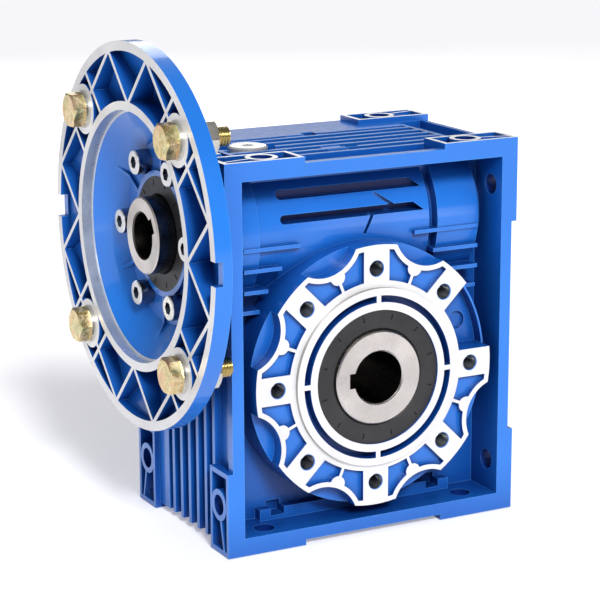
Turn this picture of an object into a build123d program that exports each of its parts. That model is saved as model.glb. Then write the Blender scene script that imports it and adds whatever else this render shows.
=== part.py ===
from build123d import *
import math
import os

# Right-angle worm gear reducer with a round motor flange.
# Origin: centre of the hollow output shaft.  +X runs along the worm, away from the
# motor flange; -Y is the front output side; +Z is up.  All sizes are millimetres.

FIT = 0.05                   # radial clearance of sliding and located fits
OVERCUT = 1.0                # how far a cut runs past the surface it opens

# ------------------------------------------------------------ sizes: main frame
CENTRE_DISTANCE = 75.0       # output axis to worm axis
BODY_HALF_X = 86.0           # over the foot pads
BODY_HALF_Y = 56.0
BODY_BOTTOM = -86.0
BODY_TOP = 119.0
PAD_PROUD = 3.0              # foot pads stand this far out of the rim
PAD_LENGTH = 45.0            # pad length from each corner
PAD_DEPTH = 21.0             # pad width, along Y
WALL_INNER_X = 76.5          # inner faces of the square frame
WALL_INNER_BOTTOM = -76.6
WALL_INNER_TOP = 109.2
WEB_Y = 30.0                 # web face at the floor of the front and rear recess

FOOT_HOLE_R = 5.5            # holes of the bottom pads and of the side pads
TOP_HOLE_R = 5.7             # holes of the top pads
FOOT_X = 60.0                # foot holes, half spacing along the worm
FOOT_Y = 45.0                # foot holes, half spacing across
FOOT_HOLE_OVERRUN = 2.0
POCKET_ALONG = (2.6, 42.4)   # pad pockets, from the body corner
POCKET_ACROSS = (2.2, 18.8)  # pad pockets, from the body edge
POCKET_RING_R = 8.4          # boss left round each foot hole
POCKET_RIB_HALF = 0.7        # diagonal rib in the outer pocket
POCKET_RIB_START = 3.0
PAD_POCKET_DEPTH = 7.0

# ------------------------------------------------------------ sizes: housing fins
FIN_CENTRES = [-33.5, -23.5, -13.5, -3.5, 6.5, 16.5]     # along Y
FIN_HALF = 1.4
EDGE_STRIP = 5.0             # plain strip at the front edge
REAR_BLOCK_FROM = 22.5       # plain band beside the rear pads
SHALLOW_X = 79.5             # channel floors beside the recesses
DEEP_X = 75.0                # channel floors beside the gear chamber
SHALLOW_UNTIL_Y = -29.0
SIDE_CHANNEL_TOP = 110.0     # the side channels stop below the frame's top
CHANNEL_TOP = 111.6
CHANNEL_BOTTOM = -79.8
TOP_CHANNEL_X = 62.0
CROSS_CHANNEL = (64.5, 80.0) # top channels that run across
CROSS_CHANNEL_Y = 34.0
TOP_BLOCK_X = (-11.0, 1.0)   # filled stretches of the top channels
TOP_BLOCK_DROP = 0.6
TOP_NOTCH_X = (0.0, 7.5)     # sunk notch beside each of them
TOP_NOTCH_DEPTH = 2.5
TOP_BLOCK_BANDS = [(-26.0, -15.0), (18.0, 29.0)]
TOP_NOTCH_INSET = 1.5

# ------------------------------------------------------- sizes: recess details
TUBE_R = 41.0                # worm tube
TUBE_BOSS_R = 43.0           # bearing bosses at its ends
TUBE_NECK_R = 37.0           # groove between tube and right boss
TUBE_END_R = 33.0
TUBE_LEFT_BOSS_END = -60.0
TUBE_NECK_X = (41.0, 45.0)
TUBE_RIGHT_BOSS_END = 70.0
SIDE_FIN_HEIGHTS = (71.0, 60.2, 49.2, 38.4)              # short horizontal fins
SIDE_FIN_REACH = {-1: (-37.5, -48.0, -56.0, -60.0), 1: (30.5, 42.0, 50.0, 57.0)}
SIDE_FIN_END_X = 69.5        # they stop short of the side walls
SIDE_FIN_PROUD = (13.8, 13.8, 13.8, 11.8)
SIDE_FIN_THICK = 2.0
SLOT_HEIGHTS = (96.3, 84.3)  # long slots in the worm tube
SLOT_FROM_X = -47.0
SLOT_TO_X = 38.0
SLOT_RUNOUT = 6.0
SLOT_TALL = 4.6
SLOT_FLOOR_Y = 32.0
CUT_START_Y = 44.0           # in front of the tube
CUT_FLOOR_Y = 36.0
CUT_THICK = 1.8
OBLIQUE_CUTS = [((14.5, 89.5), 13.0, -33.0), ((4.5, 78.0), 12.0, 62.0)]
LEDGE_TOP = -70.4            # ledge on the recess floor
LEDGE_HALF_X = 57.8
LEDGE_PROUD = 6.0
WINDOW_X = 47.5              # small windows through the ledge
WINDOW_HALF = 4.0
WINDOW_Z = (-74.5, -68.0)
WINDOW_Y = (-45.0, -27.0)

# ------------------------------------------------------------ sizes: output face
STAR_R = 70.0
STAR_Y = 57.0
STAR_BACK_Y = 49.0
OUTPUT_PCD_R = 57.5
OUTPUT_HOLE_R = 4.0
OUTPUT_HOLE_DEPTH = 14.0
OUTPUT_HOLE_CHAMFER = 0.4
LOBE_COUNT = 8
LOBE_ANGLE = 360.0 / LOBE_COUNT
LOBE_HALF_WIDTH = 7.5
SCALLOP_FLOOR_R = 62.0
SCALLOP_R = 20.9
STAR_EDGE = 2.6              # width of the machined edge round each pocket
POCKET_DEPTH = 3.0
POCKET_INNER_R = 51.0
BUMP_R = 4.2
BUMP_AT_R = 59.8
SPOKE_WIDTH = 1.6
OPEN_SECTOR = 0              # between the lobes at 0 and 45 degrees
OPEN_SECTOR_Y = 42.0
MARK_AT_R = 61.0             # round sunk mark in the open sector
MARK_ANGLE = 19.2
MARK_R = 5.0
MARK_DEPTH = 2.0

PILOT_R = 47.5               # raised centring ring of the output face
PILOT_Y = 59.5
GROOVE_INNER_R = 40.0        # annular groove inside the centring ring
GROOVE_OUTER_R = 43.7
GROOVE_DEPTH = 7.0
GROOVE_BRIDGE = 2.6

# ------------------------------------------------ sizes: output shaft and its seats
OUTPUT_BORE_R = 14.0
OUTPUT_HUB_R = 25.0
OUTPUT_HALF_LENGTH = 60.0
HUB_SHOULDER_R = 28.0
HUB_FLARE_R = 34.0
DISC_HALF_Y = 11.0
HUB_CHAMFER = 0.7
KEY_WIDTH = 8.0
KEY_DEPTH = 3.3              # keyway depth past the bore radius
SEAL_R = 36.0                # output shaft seals
SEAL_WIDTH = 8.0
SEAL_FACE_Y = 58.3
BEARING_R = 40.0             # output bearings
BEARING_WIDTH = 16.0
BEARING_FACE_Y = 46.0
CAVITY_R = 67.0              # gear chamber, bored from the rear
CAVITY_FRONT_Y = -24.0
SEAT_OVERRUN = 1.0
REAR_BOSS_R = 76.0
REAR_BOSS_Y = 43.0

# ---------------------------------------------------------- sizes: motor flange
FLANGE_FACE_X = -112.5
FLANGE_R = 100.0
FLANGE_PILOT_R = 65.0
FLANGE_PILOT_DEPTH = 6.0
FLANGE_PCD_R = 82.5
FLANGE_RIM_BACK_X = -103.5
FLANGE_SEAT_X = -84.0        # flange meets the housing here
FLANGE_FOOT_R = 52.0
FLANGE_FOOT_GAP = 2.2        # the seat is turned clear of the side foot holes
FLANGE_BOSS_BACK_X = -101.5
RING_INNER_EDGE_R = 95.0     # inside of the outer machined ring
PILOT_RING_R = 69.5          # outside of the pilot ring
RIB_HALF = 1.1               # lattice ribs
RIB_BLANK_DEPTH = 20.0
NODE_ANGLE = 14.3            # outer rib ends, either side of each axis
CROSS_OFFSET = 16.6          # ribs beside each bolt run parallel to its radius
RIB_ROOT = 1.0               # how far each rib runs into the rings
POCKET_FLOOR = [(-106.8, RING_INNER_EDGE_R), (-99.5, PILOT_RING_R)]
BOLT_COUNT = 4
BOLT_START = 45.0
BOLT_BOSS_R = 13.3
SPOT_FACE_R = 11.5
SPOT_FACE_CLEAR = 12.0
BOLT_HOLE_R = 5.5
NOTCH_HALF = 6.0
NOTCH_DEPTH = 4.0
NOTCH_INNER_R = 89.0
COLLAR_OUTER_R = 32.8        # round collar that holds the input seal
SEAL_SEAT_X = -88.0
SEAL_SEAT_R = 27.0
INPUT_SEAL_FACE_X = -96.0
FLANGE_SPIGOT_X = -81.2
SCREW_SEAT_X = -93.4
SCREW_PCD_R = 40.0
SCREW_COUNT = 6
SCREW_R = 4.0
SCREW_CLEARANCE = 0.4
SCREW_HOLE_DEPTH = 7.2
GUSSET_HALF = 1.0            # small ribs of the dish, between the screws
GUSSET_RISE = 1.6
GUSSET_OUTER_R = 61.0
GUSSET_START = 30.0
FACE_RING_R = 47.3           # sealing ring in the flange's back face
FACE_RING_MINOR = 0.8
FACE_GROOVE_HALF = 1.1

# ------------------------------------------------------- sizes: worm and bearings
INPUT_HUB_R = 20.0
INPUT_BORE_R = 12.0
INPUT_HUB_FACE_X = -106.0
INPUT_BORE_DEPTH = 52.0
INPUT_KEY_ANGLE = 150.0
INPUT_KEY_LENGTH = 40.0
INPUT_SEAL_R = 30.0
INPUT_BEARING_R = 34.0
INPUT_BEARING_WIDTH = 15.0
INPUT_BEARING_FACE_X = -81.0
TAIL_BEARING_R = 23.5
TAIL_BEARING_INNER_R = 10.0
TAIL_BEARING_WIDTH = 14.0
TAIL_BEARING_FACE_X = 60.0
TAIL_BOSS_R = 34.0
COLLAR_BORE_R = 29.0         # clears the worm's collar behind the input bearing
COLLAR_BORE_X = (-66.5, -50.0)
TUNNEL_R = 22.0
TUNNEL_X = (-65.0, 60.5)
RING_GROOVE = (22.5, 25.0)   # retaining ring groove, inner and outer radius
RING_GROOVE_WIDTH = 1.8
MODULE = 4.0
WHEEL_TEETH = 30
WORM_PITCH_R = 15.0
WORM_ROOT_R = 10.0
WORM_CORE_R = 10.6
WORM_NECK_R = 12.5
COLLAR_R = 23.4
WORM_PROFILE = [(-52.0, COLLAR_R), (-48.0, 17.0), (-38.0, WORM_NECK_R), (-31.0, WORM_CORE_R)]
WORM_TAIL = [(31.0, WORM_CORE_R), (36.0, WORM_NECK_R)]
THREAD_TURNS = 4
PRESSURE_ANGLE = 20.0
BACKLASH = 0.35              # taken off each flank of worm and wheel
RIM_INNER_R = 48.0           # bronze rim of the wheel
RIM_HALF_Y = 14.0
DEDENDUM = 1.25              # in modules

# --------------------------------------------------- sizes: cover, plugs, screws
SPIGOT_FRONT_Y = 36.0
SPIGOT_INNER_R = 52.0
BEARING_BOSS_R = 47.0
BEARING_BOSS_FRONT_Y = 29.5
ORING_MAJOR_R = 65.85
ORING_R = 1.05
ORING_Y = 39.3
ORING_GROOVE_HALF = 1.3
REAR_SCREW_R = 71.3          # circle of the rear cover's screws
REAR_SCREW_HOLE_R = 2.5
REAR_SCREW_HOLE_DEPTH = 12.0
COVER_HOLE_R = 2.8
COVER_HOLE_DEPTH = 10.0
PLUG_X = -45.0
PLUG_THREAD_R = 8.0
PLUG_HEAD_R = 10.5
PLUG_BOSS_R = 11.7
PLUG_CLEAR_R = 14.5
PLUG_SEAT_TOP = 112.5
PLUG_SEAT_BOTTOM = -78.0
PLUG_HOLE_DEPTH = 35.0
PLUG_WASHER = 1.0
PLUG_WASHER_R = (8.2, 10.0)

# shank radius, length, head radius, head height, socket width and depth
COVER_SCREW = (REAR_SCREW_HOLE_R - FIT, 16.0, 4.25, 5.0, 4.0, 2.5)
FLANGE_SCREW = (SCREW_R - FIT, 16.0, 6.5, 8.0, 6.0, 4.0)
PLUG = (PLUG_THREAD_R - FIT, 12.0, PLUG_HEAD_R, 3.5, 6.0, 2.8)
HEAD_CHAMFER = 0.08          # share of the head radius
SHANK_CHAMFER = 0.15         # share of the shank radius

BOLT_R = 5.0
BOLT_LENGTH = 30.0
BOLT_TIP_CHAMFER = 0.9
BOLT_AF = 17.0
BOLT_HEAD = 6.4
NUT_HEIGHT = 8.4
WASHER_R = 10.0
WASHER_GAP = 0.25
WASHER_THICK = 2.5
HEX_CORNER = 0.57            # hexagon blank, shares of the width over flats
HEX_FACE = 0.47
HEX_CHAMFER = 0.06

CAP_THICK = 5.5
CAP_DISH_R = 19.5
CAP_DISH_DEPTH = 1.2
RETAINING_RING = (21.6, 24.8)
RETAINING_RING_THICK = 1.5
RETAINING_RING_GAP = (8.0, 14.0)
RETAINING_LUG = (19.9, 8.2, 2.2, 1.0)    # place, half spacing, radius, eye radius

CAGE_MARGIN = 1.2            # cage beyond the balls, at each side
CAGE_HALF = 0.22             # cage thickness, share of the ball radius
LAND_SHARE = 0.62            # ring shoulders, share of the ball radius
GROOVE_CLEARANCE = 0.1
RING_CHAMFER = 0.6
OUTPUT_BALLS = (4.35, 14)    # ball radius and count
INPUT_BALLS = (3.95, 12)
TAIL_BALLS = (3.95, 8)
LIP_GAP = 0.08
SEAL_MARKS = 12              # small sunk marks on the faces of the seals
SEAL_MARK = (3.0, 1.1)
SEAL_MARK_DEPTH = 0.8

# --------------------------------------------------------------- derived values
RIM_HALF_X = BODY_HALF_X - PAD_PROUD
RIM_BOTTOM = BODY_BOTTOM + PAD_PROUD
RIM_TOP = BODY_TOP - PAD_PROUD
WORM_AXIS = Axis((0, 0, CENTRE_DISTANCE), (1, 0, 0))
WHEEL_PITCH_R = MODULE * WHEEL_TEETH / 2
WHEEL_TIP_R = WHEEL_PITCH_R + MODULE
WHEEL_ROOT_R = WHEEL_PITCH_R - DEDENDUM * MODULE
WORM_TIP_R = WORM_PITCH_R + MODULE
AXIAL_PITCH = math.pi * MODULE
TWIST_PER_MM = math.degrees(AXIAL_PITCH / (2 * math.pi * WORM_PITCH_R * WHEEL_PITCH_R))
FLANK_SLOPE = math.tan(math.radians(PRESSURE_ANGLE))
HUB_HALF_Y = BEARING_FACE_Y - BEARING_WIDTH
COLLAR_FROM_X = INPUT_BEARING_FACE_X + INPUT_BEARING_WIDTH
RETAINING_FACE_X = TAIL_BEARING_FACE_X + TAIL_BEARING_WIDTH
TAIL_JOURNAL_END_X = RETAINING_FACE_X + 0.5
CORNER_SIGNS = [(sx, sy) for sx in (-1, 1) for sy in (-1, 1)]


# ---------------------------------------------------------------------- helpers
def save(part, label):
    """Name a finished piece and write it as one STEP file."""
    part.label = label
    export_step(part, f"parts/{label}.step")


def spread(part, planes, label):
    """Copies of one piece on several planes, as one group of separate solids."""
    save(Compound(children=[plane.location * part for plane in planes]), label)


def front_plane(distance):
    """Plane facing the front, at a distance in front of the mid-plane."""
    return Plane.XZ.offset(distance)


def rear_plane(distance):
    """Plane facing the rear; its local X still runs along +X."""
    return Plane(origin=(0, distance, 0), x_dir=(1, 0, 0), z_dir=(0, 1, 0))


def worm_plane(x):
    """Plane across the worm axis, facing +X; local X is world Y, local Y is world Z."""
    return Plane(origin=(x, 0, CENTRE_DISTANCE), x_dir=(0, 1, 0), z_dir=(1, 0, 0))


def polar(radius, degrees):
    """Point of a circle in a plane's own coordinates."""
    angle = math.radians(degrees)
    return (radius * math.cos(angle), radius * math.sin(angle))


def rotated_point(along, across, degrees):
    """Point given along and across a radial line at an angle."""
    angle = math.radians(degrees)
    x = along * math.cos(angle) - across * math.sin(angle)
    y = along * math.sin(angle) + across * math.cos(angle)
    return (x, y)


def box_between(low, high, mode=Mode.ADD):
    """Box from its lowest corner to its highest corner."""
    size = [b - a for a, b in zip(low, high)]
    with Locations(low):
        Box(*size, align=(Align.MIN, Align.MIN, Align.MIN), mode=mode)


def sided(side, near, far):
    """The two distances on one side of zero, lowest first."""
    return sorted((side * near, side * far))


def turned_profile(points):
    """Half section of a part turned round the worm axis, as X and radius."""
    Polygon([(x, CENTRE_DISTANCE + radius) for x, radius in points])


# -------------------------------------------------------------- output face tools
def sketch_star(open_sector):
    """Star outline: round plate with scallops, less the sector that is cut open."""
    Circle(STAR_R)
    for n in range(LOBE_COUNT):
        if n != open_sector:
            with Locations(polar(SCALLOP_FLOOR_R + SCALLOP_R, (n + 0.5) * LOBE_ANGLE)):
                Circle(SCALLOP_R, mode=Mode.SUBTRACT)
    if open_sector is not None:
        add(sector_between_lobes(open_sector), mode=Mode.SUBTRACT)


def sector_between_lobes(number):
    """Face between the straight sides of two lobes, outside the centring ring."""
    low = number * LOBE_ANGLE
    far = 2 * STAR_R
    tip = LOBE_HALF_WIDTH / math.sin(math.radians(LOBE_ANGLE / 2))
    wedge = Sketch() + Polygon(
        polar(tip, low + LOBE_ANGLE / 2),
        rotated_point(far, LOBE_HALF_WIDTH, low),
        rotated_point(far, -LOBE_HALF_WIDTH, low + LOBE_ANGLE),
        mode=Mode.PRIVATE,
    )
    outer = Circle(STAR_R + OVERCUT, mode=Mode.PRIVATE)
    inner = Circle(POCKET_INNER_R, mode=Mode.PRIVATE)
    return wedge & (outer - inner)


def sketch_star_pockets(open_sector):
    """Two triangular pockets in each closed sector between the lobes."""
    Circle(STAR_R - STAR_EDGE)
    Circle(POCKET_INNER_R, mode=Mode.SUBTRACT)
    for n in range(LOBE_COUNT):
        lobe = n * LOBE_ANGLE
        middle = lobe + LOBE_ANGLE / 2
        with Locations(polar(OUTPUT_PCD_R, lobe)):
            Rectangle(STAR_R, 2 * LOBE_HALF_WIDTH, rotation=lobe, mode=Mode.SUBTRACT)
        with Locations(polar(OUTPUT_PCD_R, middle)):
            Rectangle(STAR_R, SPOKE_WIDTH, rotation=middle, mode=Mode.SUBTRACT)
        with Locations(polar(BUMP_AT_R, middle)):
            Circle(BUMP_R, mode=Mode.SUBTRACT)
        with Locations(polar(SCALLOP_FLOOR_R + SCALLOP_R, middle)):
            Circle(SCALLOP_R + STAR_EDGE, mode=Mode.SUBTRACT)
    if open_sector is not None:
        add(sector_between_lobes(open_sector), mode=Mode.SUBTRACT)


def sketch_ring_groove():
    """Annular groove broken by four small bridges."""
    Circle(GROOVE_OUTER_R)
    Circle(GROOVE_INNER_R + FIT, mode=Mode.SUBTRACT)
    Rectangle(2 * STAR_R, GROOVE_BRIDGE, mode=Mode.SUBTRACT)
    Rectangle(GROOVE_BRIDGE, 2 * STAR_R, mode=Mode.SUBTRACT)


def cut_output_face(plane_at, open_sector):
    """Centring ring, groove, pockets and tapped holes of one output face."""
    with BuildSketch(plane_at(STAR_Y)) as ring:
        Circle(PILOT_R)
    extrude(ring.sketch, amount=PILOT_Y - STAR_Y)
    with BuildSketch(plane_at(PILOT_Y)) as groove:
        sketch_ring_groove()
    extrude(groove.sketch, amount=-GROOVE_DEPTH, mode=Mode.SUBTRACT)
    with BuildSketch(plane_at(STAR_Y)) as pockets:
        sketch_star_pockets(open_sector)
    extrude(pockets.sketch, amount=-POCKET_DEPTH, mode=Mode.SUBTRACT)
    with BuildSketch(plane_at(STAR_Y)) as holes:
        with PolarLocations(OUTPUT_PCD_R, LOBE_COUNT):
            Circle(OUTPUT_HOLE_R)
    extrude(holes.sketch, amount=-OUTPUT_HOLE_DEPTH, mode=Mode.SUBTRACT)


def bore_output_seat(plane_at, inner_y):
    """Seal bore and bearing bore of one output side."""
    with BuildSketch(plane_at(PILOT_Y)) as seal_bore:
        Circle(SEAL_R)
    extrude(seal_bore.sketch, amount=-(PILOT_Y - inner_y), mode=Mode.SUBTRACT)
    with BuildSketch(plane_at(BEARING_FACE_Y)) as bearing_bore:
        Circle(BEARING_R)
    extrude(bearing_bore.sketch, amount=-(BEARING_FACE_Y - inner_y), mode=Mode.SUBTRACT)


def hole_mouths(builder, side):
    """Mouth edges of the tapped holes of one output face."""
    mouths = builder.edges().filter_by(GeomType.CIRCLE)
    mouths = mouths.filter_by(lambda edge: abs(edge.radius - OUTPUT_HOLE_R) < FIT)
    return mouths.filter_by_position(Axis.Y, side * STAR_Y - FIT, side * STAR_Y + FIT)


# --------------------------------------------------------------------- pad tools
def channel_bands():
    """Y intervals of the channels between the fins."""
    edges = [-(BODY_HALF_Y - EDGE_STRIP)]
    for centre in FIN_CENTRES:
        edges += [centre - FIN_HALF, centre + FIN_HALF]
    edges.append(REAR_BLOCK_FROM)
    return [(edges[n], edges[n + 1]) for n in range(0, len(edges), 2)]


def pad_boxes():
    """Lowest and highest corners of the sixteen foot pad blocks."""
    boxes = []
    for sx, sy in CORNER_SIGNS:
        y_low, y_high = sided(sy, BODY_HALF_Y, BODY_HALF_Y - PAD_DEPTH)
        x_low, x_high = sided(sx, BODY_HALF_X, BODY_HALF_X - PAD_LENGTH)
        side_low, side_high = sided(sx, BODY_HALF_X, WALL_INNER_X)
        boxes.append(((x_low, y_low, WALL_INNER_TOP), (x_high, y_high, BODY_TOP)))
        boxes.append(((x_low, y_low, BODY_BOTTOM), (x_high, y_high, WALL_INNER_BOTTOM)))
        boxes.append(((side_low, y_low, BODY_TOP - PAD_LENGTH), (side_high, y_high, BODY_TOP)))
        boxes.append(((side_low, y_low, BODY_BOTTOM), (side_high, y_high, BODY_BOTTOM + PAD_LENGTH)))
    return boxes


def pad_pocket(sign_along, sign_across):
    """Face of one pad's pockets, its origin at the pad's outer corner."""
    low_u, high_u = POCKET_ALONG
    low_v, high_v = POCKET_ACROSS
    hole_u = BODY_HALF_X - FOOT_X
    hole_v = BODY_HALF_Y - FOOT_Y
    rib_u = low_u - OVERCUT
    rib_v = low_v + POCKET_RIB_START
    half = POCKET_RIB_HALF
    slab = [(low_u, low_v), (high_u, low_v), (high_u, high_v), (low_u, high_v)]
    rib = [(rib_u, rib_v - half), (hole_u, hole_v - half), (hole_u, hole_v + half), (rib_u, rib_v + half)]
    faces = []
    for outline in (slab, rib):
        corners = [(sign_along * u, sign_across * v) for u, v in outline]
        faces.append(Polygon(*corners, mode=Mode.PRIVATE))
    centre = Pos(sign_along * hole_u, sign_across * hole_v)
    return faces[0] - faces[1] - centre * Circle(POCKET_RING_R, mode=Mode.PRIVATE)


os.makedirs("parts", exist_ok=True)

# ---------------------------------------------------------------------- housing
with BuildPart() as housing:
    box_between((-RIM_HALF_X, -BODY_HALF_Y, RIM_BOTTOM), (RIM_HALF_X, BODY_HALF_Y, RIM_TOP))
    # square recesses at the front and the rear
    for side in (-1, 1):
        y_low, y_high = sided(side, WEB_Y, BODY_HALF_Y)
        box_between(
            (-WALL_INNER_X, y_low, WALL_INNER_BOTTOM),
            (WALL_INNER_X, y_high, WALL_INNER_TOP),
            mode=Mode.SUBTRACT,
        )
    # worm tube with its bearing bosses, standing out of both webs
    for x_from, x_to, radius in (
        (-WALL_INNER_X, TUBE_LEFT_BOSS_END, TUBE_BOSS_R),
        (TUBE_LEFT_BOSS_END, TUBE_NECK_X[0], TUBE_R),
        (TUBE_NECK_X[0], TUBE_NECK_X[1], TUBE_NECK_R),
        (TUBE_NECK_X[1], TUBE_RIGHT_BOSS_END, TUBE_BOSS_R),
        (TUBE_RIGHT_BOSS_END, WALL_INNER_X, TUBE_END_R),
    ):
        with BuildSketch(worm_plane(x_from)):
            Circle(radius)
        extrude(amount=x_to - x_from)
    # short horizontal fins beside the round boss, below the worm tube
    for side in (-1, 1):
        for height, proud, reach in zip(SIDE_FIN_HEIGHTS, SIDE_FIN_PROUD, SIDE_FIN_REACH[side]):
            x_low, x_high = sorted((side * SIDE_FIN_END_X, reach))
            box_between(
                (x_low, -(WEB_Y + proud), height - SIDE_FIN_THICK / 2),
                (x_high, -WEB_Y + OVERCUT, height + SIDE_FIN_THICK / 2),
            )
    # ledge along the floor of the front recess, with two small windows
    box_between(
        (-LEDGE_HALF_X, -(WEB_Y + LEDGE_PROUD), WALL_INNER_BOTTOM),
        (LEDGE_HALF_X, -WEB_Y + OVERCUT, LEDGE_TOP),
    )
    for x in (-WINDOW_X, WINDOW_X):
        box_between(
            (x - WINDOW_HALF, WINDOW_Y[0], WINDOW_Z[0]),
            (x + WINDOW_HALF, WINDOW_Y[1], WINDOW_Z[1]),
            mode=Mode.SUBTRACT,
        )
    # round casing of the gear chamber: front boss and rear boss
    with BuildSketch(front_plane(WEB_Y - OVERCUT)):
        Circle(STAR_R)
    extrude(amount=STAR_BACK_Y - WEB_Y + OVERCUT)
    with BuildSketch(rear_plane(WEB_Y - OVERCUT)):
        Circle(REAR_BOSS_R)
    extrude(amount=REAR_BOSS_Y - WEB_Y + OVERCUT)
    # nothing of the tube stands out of the frame's top
    box_between(
        (-BODY_HALF_X, -BODY_HALF_Y, RIM_TOP),
        (BODY_HALF_X, BODY_HALF_Y, BODY_TOP + OVERCUT),
        mode=Mode.SUBTRACT,
    )
    # channels between the cooling fins, running round all four sides
    for y_low, y_high in channel_bands():
        floor_x = SHALLOW_X if y_low < SHALLOW_UNTIL_Y else DEEP_X
        for side in (-1, 1):
            x_low, x_high = sided(side, floor_x, BODY_HALF_X)
            box_between(
                (x_low, y_low, RIM_BOTTOM),
                (x_high, y_high, SIDE_CHANNEL_TOP),
                mode=Mode.SUBTRACT,
            )
        box_between(
            (-TOP_CHANNEL_X, y_low, CHANNEL_TOP),
            (TOP_CHANNEL_X, y_high, RIM_TOP),
            mode=Mode.SUBTRACT,
        )
        box_between(
            (-BODY_HALF_X, y_low, RIM_BOTTOM),
            (BODY_HALF_X, y_high, CHANNEL_BOTTOM),
            mode=Mode.SUBTRACT,
        )
    # cross channels of the top, between an inner rib and the end wall
    for side in (-1, 1):
        x_low, x_high = sided(side, *CROSS_CHANNEL)
        box_between(
            (x_low, -CROSS_CHANNEL_Y, CHANNEL_TOP),
            (x_high, CROSS_CHANNEL_Y, RIM_TOP),
            mode=Mode.SUBTRACT,
        )
    # two stretches of the top channels are filled, each with a sunk notch beside it
    for y_low, y_high in TOP_BLOCK_BANDS:
        box_between(
            (TOP_BLOCK_X[0], y_low, CHANNEL_TOP - OVERCUT),
            (TOP_BLOCK_X[1], y_high, RIM_TOP - TOP_BLOCK_DROP),
        )
        box_between(
            (TOP_NOTCH_X[0], y_low + TOP_NOTCH_INSET, CHANNEL_TOP - TOP_NOTCH_DEPTH),
            (TOP_NOTCH_X[1], y_high - TOP_NOTCH_INSET, RIM_TOP),
            mode=Mode.SUBTRACT,
        )
    # foot pads
    for low, high in pad_boxes():
        box_between(low, high)
    # seats of the motor flange and of the worm's end cap
    with BuildSketch(worm_plane(-DEEP_X + OVERCUT)):
        Circle(FLANGE_FOOT_R)
    extrude(amount=FLANGE_SEAT_X + DEEP_X - OVERCUT)
    with BuildSketch(worm_plane(DEEP_X - OVERCUT)):
        Circle(TAIL_BOSS_R)
    extrude(amount=RIM_HALF_X - DEEP_X + OVERCUT)
    box_between(
        (-BODY_HALF_X, -BODY_HALF_Y, BODY_TOP),
        (BODY_HALF_X, BODY_HALF_Y, CENTRE_DISTANCE + FLANGE_FOOT_R + OVERCUT),
        mode=Mode.SUBTRACT,
    )
    # the flange seat is turned clear of the side pads
    with BuildSketch(worm_plane(FLANGE_SEAT_X)):
        Circle(FLANGE_FOOT_R + FLANGE_FOOT_GAP)
    extrude(amount=-(BODY_HALF_X + FLANGE_SEAT_X + OVERCUT), mode=Mode.SUBTRACT)
    # long slots of the worm tube, each running out at its right end
    for height in SLOT_HEIGHTS:
        slot_start = SLOT_FROM_X + SLOT_TALL / 2
        with BuildSketch(front_plane(CUT_START_Y)):
            with Locations((slot_start, height)):
                Circle(SLOT_TALL / 2)
            Polygon(
                (slot_start, height - SLOT_TALL / 2),
                (SLOT_TO_X, height - SLOT_TALL / 2),
                (SLOT_TO_X - SLOT_RUNOUT, height + SLOT_TALL / 2),
                (slot_start, height + SLOT_TALL / 2),
            )
        extrude(amount=SLOT_FLOOR_Y - CUT_START_Y, mode=Mode.SUBTRACT)
    # oblique cuts beside the slots
    with BuildSketch(front_plane(CUT_START_Y)):
        for place, length, turn in OBLIQUE_CUTS:
            with Locations(place):
                Rectangle(length, CUT_THICK, rotation=turn)
    extrude(amount=CUT_FLOOR_Y - CUT_START_Y, mode=Mode.SUBTRACT)
    # star-shaped output face, its open sector cut deeper
    with BuildSketch(front_plane(STAR_BACK_Y)):
        sketch_star(OPEN_SECTOR)
    extrude(amount=STAR_Y - STAR_BACK_Y)
    with BuildSketch(front_plane(STAR_BACK_Y)):
        add(sector_between_lobes(OPEN_SECTOR))
    extrude(amount=OPEN_SECTOR_Y - STAR_BACK_Y, mode=Mode.SUBTRACT)
    with BuildSketch(front_plane(OPEN_SECTOR_Y)):
        with Locations(polar(MARK_AT_R, MARK_ANGLE)):
            Circle(MARK_R)
    extrude(amount=-MARK_DEPTH, mode=Mode.SUBTRACT)
    cut_output_face(front_plane, OPEN_SECTOR)
    # gear chamber, worm tunnel and room for the worm's collar
    with BuildSketch(rear_plane(CAVITY_FRONT_Y)):
        Circle(CAVITY_R)
    extrude(amount=REAR_BOSS_Y - CAVITY_FRONT_Y, mode=Mode.SUBTRACT)
    for (x_from, x_to), radius in ((TUNNEL_X, TUNNEL_R), (COLLAR_BORE_X, COLLAR_BORE_R)):
        with BuildSketch(worm_plane(x_from)):
            Circle(radius)
        extrude(amount=x_to - x_from, mode=Mode.SUBTRACT)
    # output seal and bearing bores at the front
    bore_output_seat(front_plane, -CAVITY_FRONT_Y - SEAT_OVERRUN)
    # input bearing bore with its shoulder, and the tail bearing bore
    with BuildSketch(worm_plane(FLANGE_SEAT_X)):
        Circle(INPUT_BEARING_R)
    extrude(amount=COLLAR_FROM_X - FLANGE_SEAT_X, mode=Mode.SUBTRACT)
    with BuildSketch(worm_plane(TAIL_BEARING_FACE_X)):
        Circle(TAIL_BEARING_R)
    extrude(amount=RIM_HALF_X - TAIL_BEARING_FACE_X + OVERCUT, mode=Mode.SUBTRACT)
    # groove of the retaining ring behind the tail bearing
    with BuildSketch(worm_plane(RETAINING_FACE_X)):
        Circle(RING_GROOVE[1])
        Circle(RING_GROOVE[0], mode=Mode.SUBTRACT)
    extrude(amount=RING_GROOVE_WIDTH, mode=Mode.SUBTRACT)
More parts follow.
